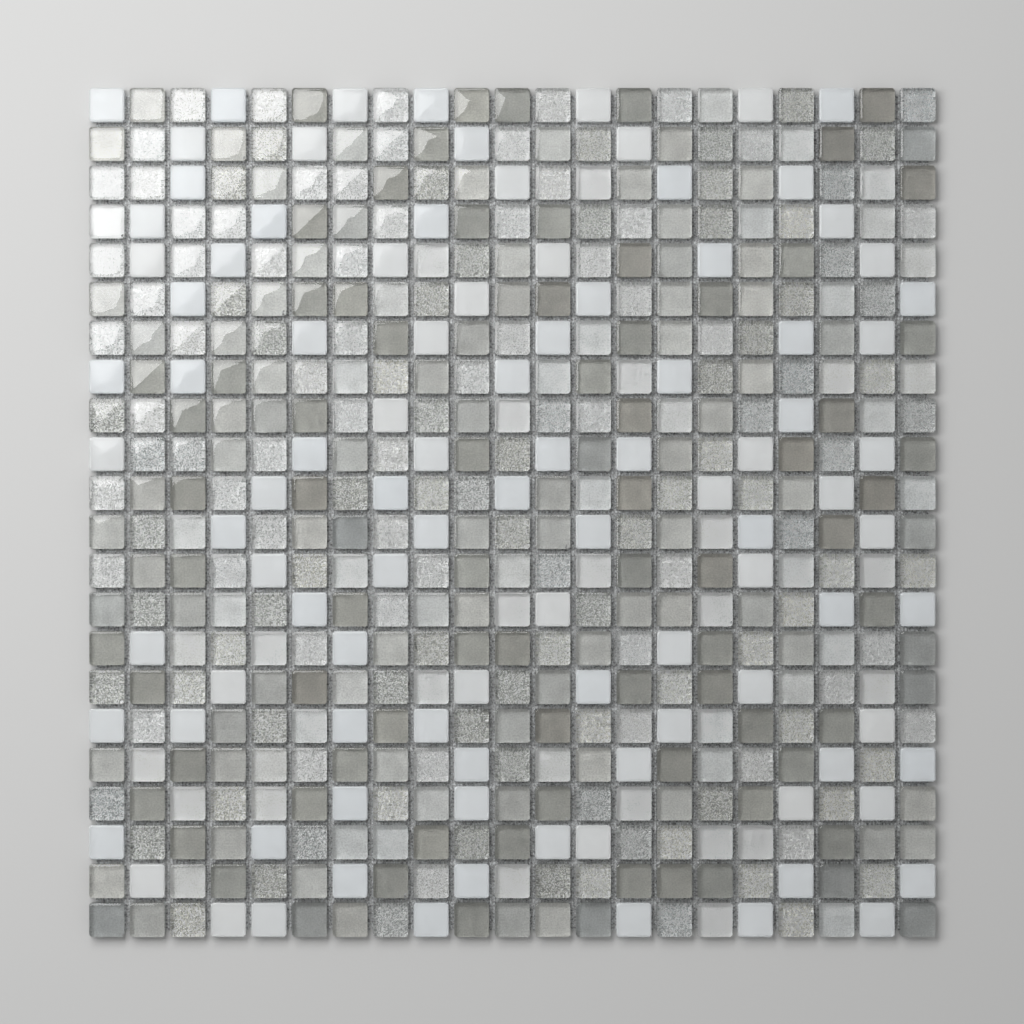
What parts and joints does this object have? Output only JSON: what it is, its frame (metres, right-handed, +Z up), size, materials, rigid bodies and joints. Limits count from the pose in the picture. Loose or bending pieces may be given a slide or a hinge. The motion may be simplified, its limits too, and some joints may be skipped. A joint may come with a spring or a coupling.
{
  "type": "mosaic tile sheet",
  "caption": "Flat square sheet of small square glass mosaic chips in whites, greys and glitters, laid in straight rows with open joints on a thin mesh backing.",
  "frame": {"origin": "middle of the sheet's underside, on the level floor it lies on", "axes": "+Z up out of the chips' faces, X along the rows, Y up the columns"},
  "size_m": [0.2994, 0.3004, 0.0045],
  "materials": {
    "net": "open weave of pale glass-fibre yarn with dried glue",
    "opal_white": "gloss face, opaque cool white back",
    "pale_grey": "gloss face, opaque pale grey back",
    "mid_grey": "gloss face, opaque mid grey back",
    "dark_grey": "gloss face, opaque dark warm grey back",
    "taupe": "gloss face, opaque brownish grey back",
    "slate": "gloss face, opaque blue-grey back",
    "silver_glitter": "gloss face, bright coarse silver glitter back",
    "pewter_glitter": "gloss face, dark grey glitter back",
    "steel_glitter": "gloss face, blue-grey glitter back",
    "champagne_glitter": "gloss face, warm pale glitter back",
    "pearl_shimmer": "gloss face, fine pale shimmer back"
  },
  "bodies": {
    "root": {"backing_net": "net", "chips_opal_white": "opal_white", "chips_pale_grey": "pale_grey", "chips_mid_grey": "mid_grey", "chips_dark_grey": "dark_grey", "chips_taupe": "taupe", "chips_slate": "slate", "chips_silver_glitter": "silver_glitter", "chips_pewter_glitter": "pewter_glitter", "chips_steel_glitter": "steel_glitter", "chips_champagne_glitter": "champagne_glitter", "chips_pearl_shimmer": "pearl_shimmer"}
  },
  "joints": []
}
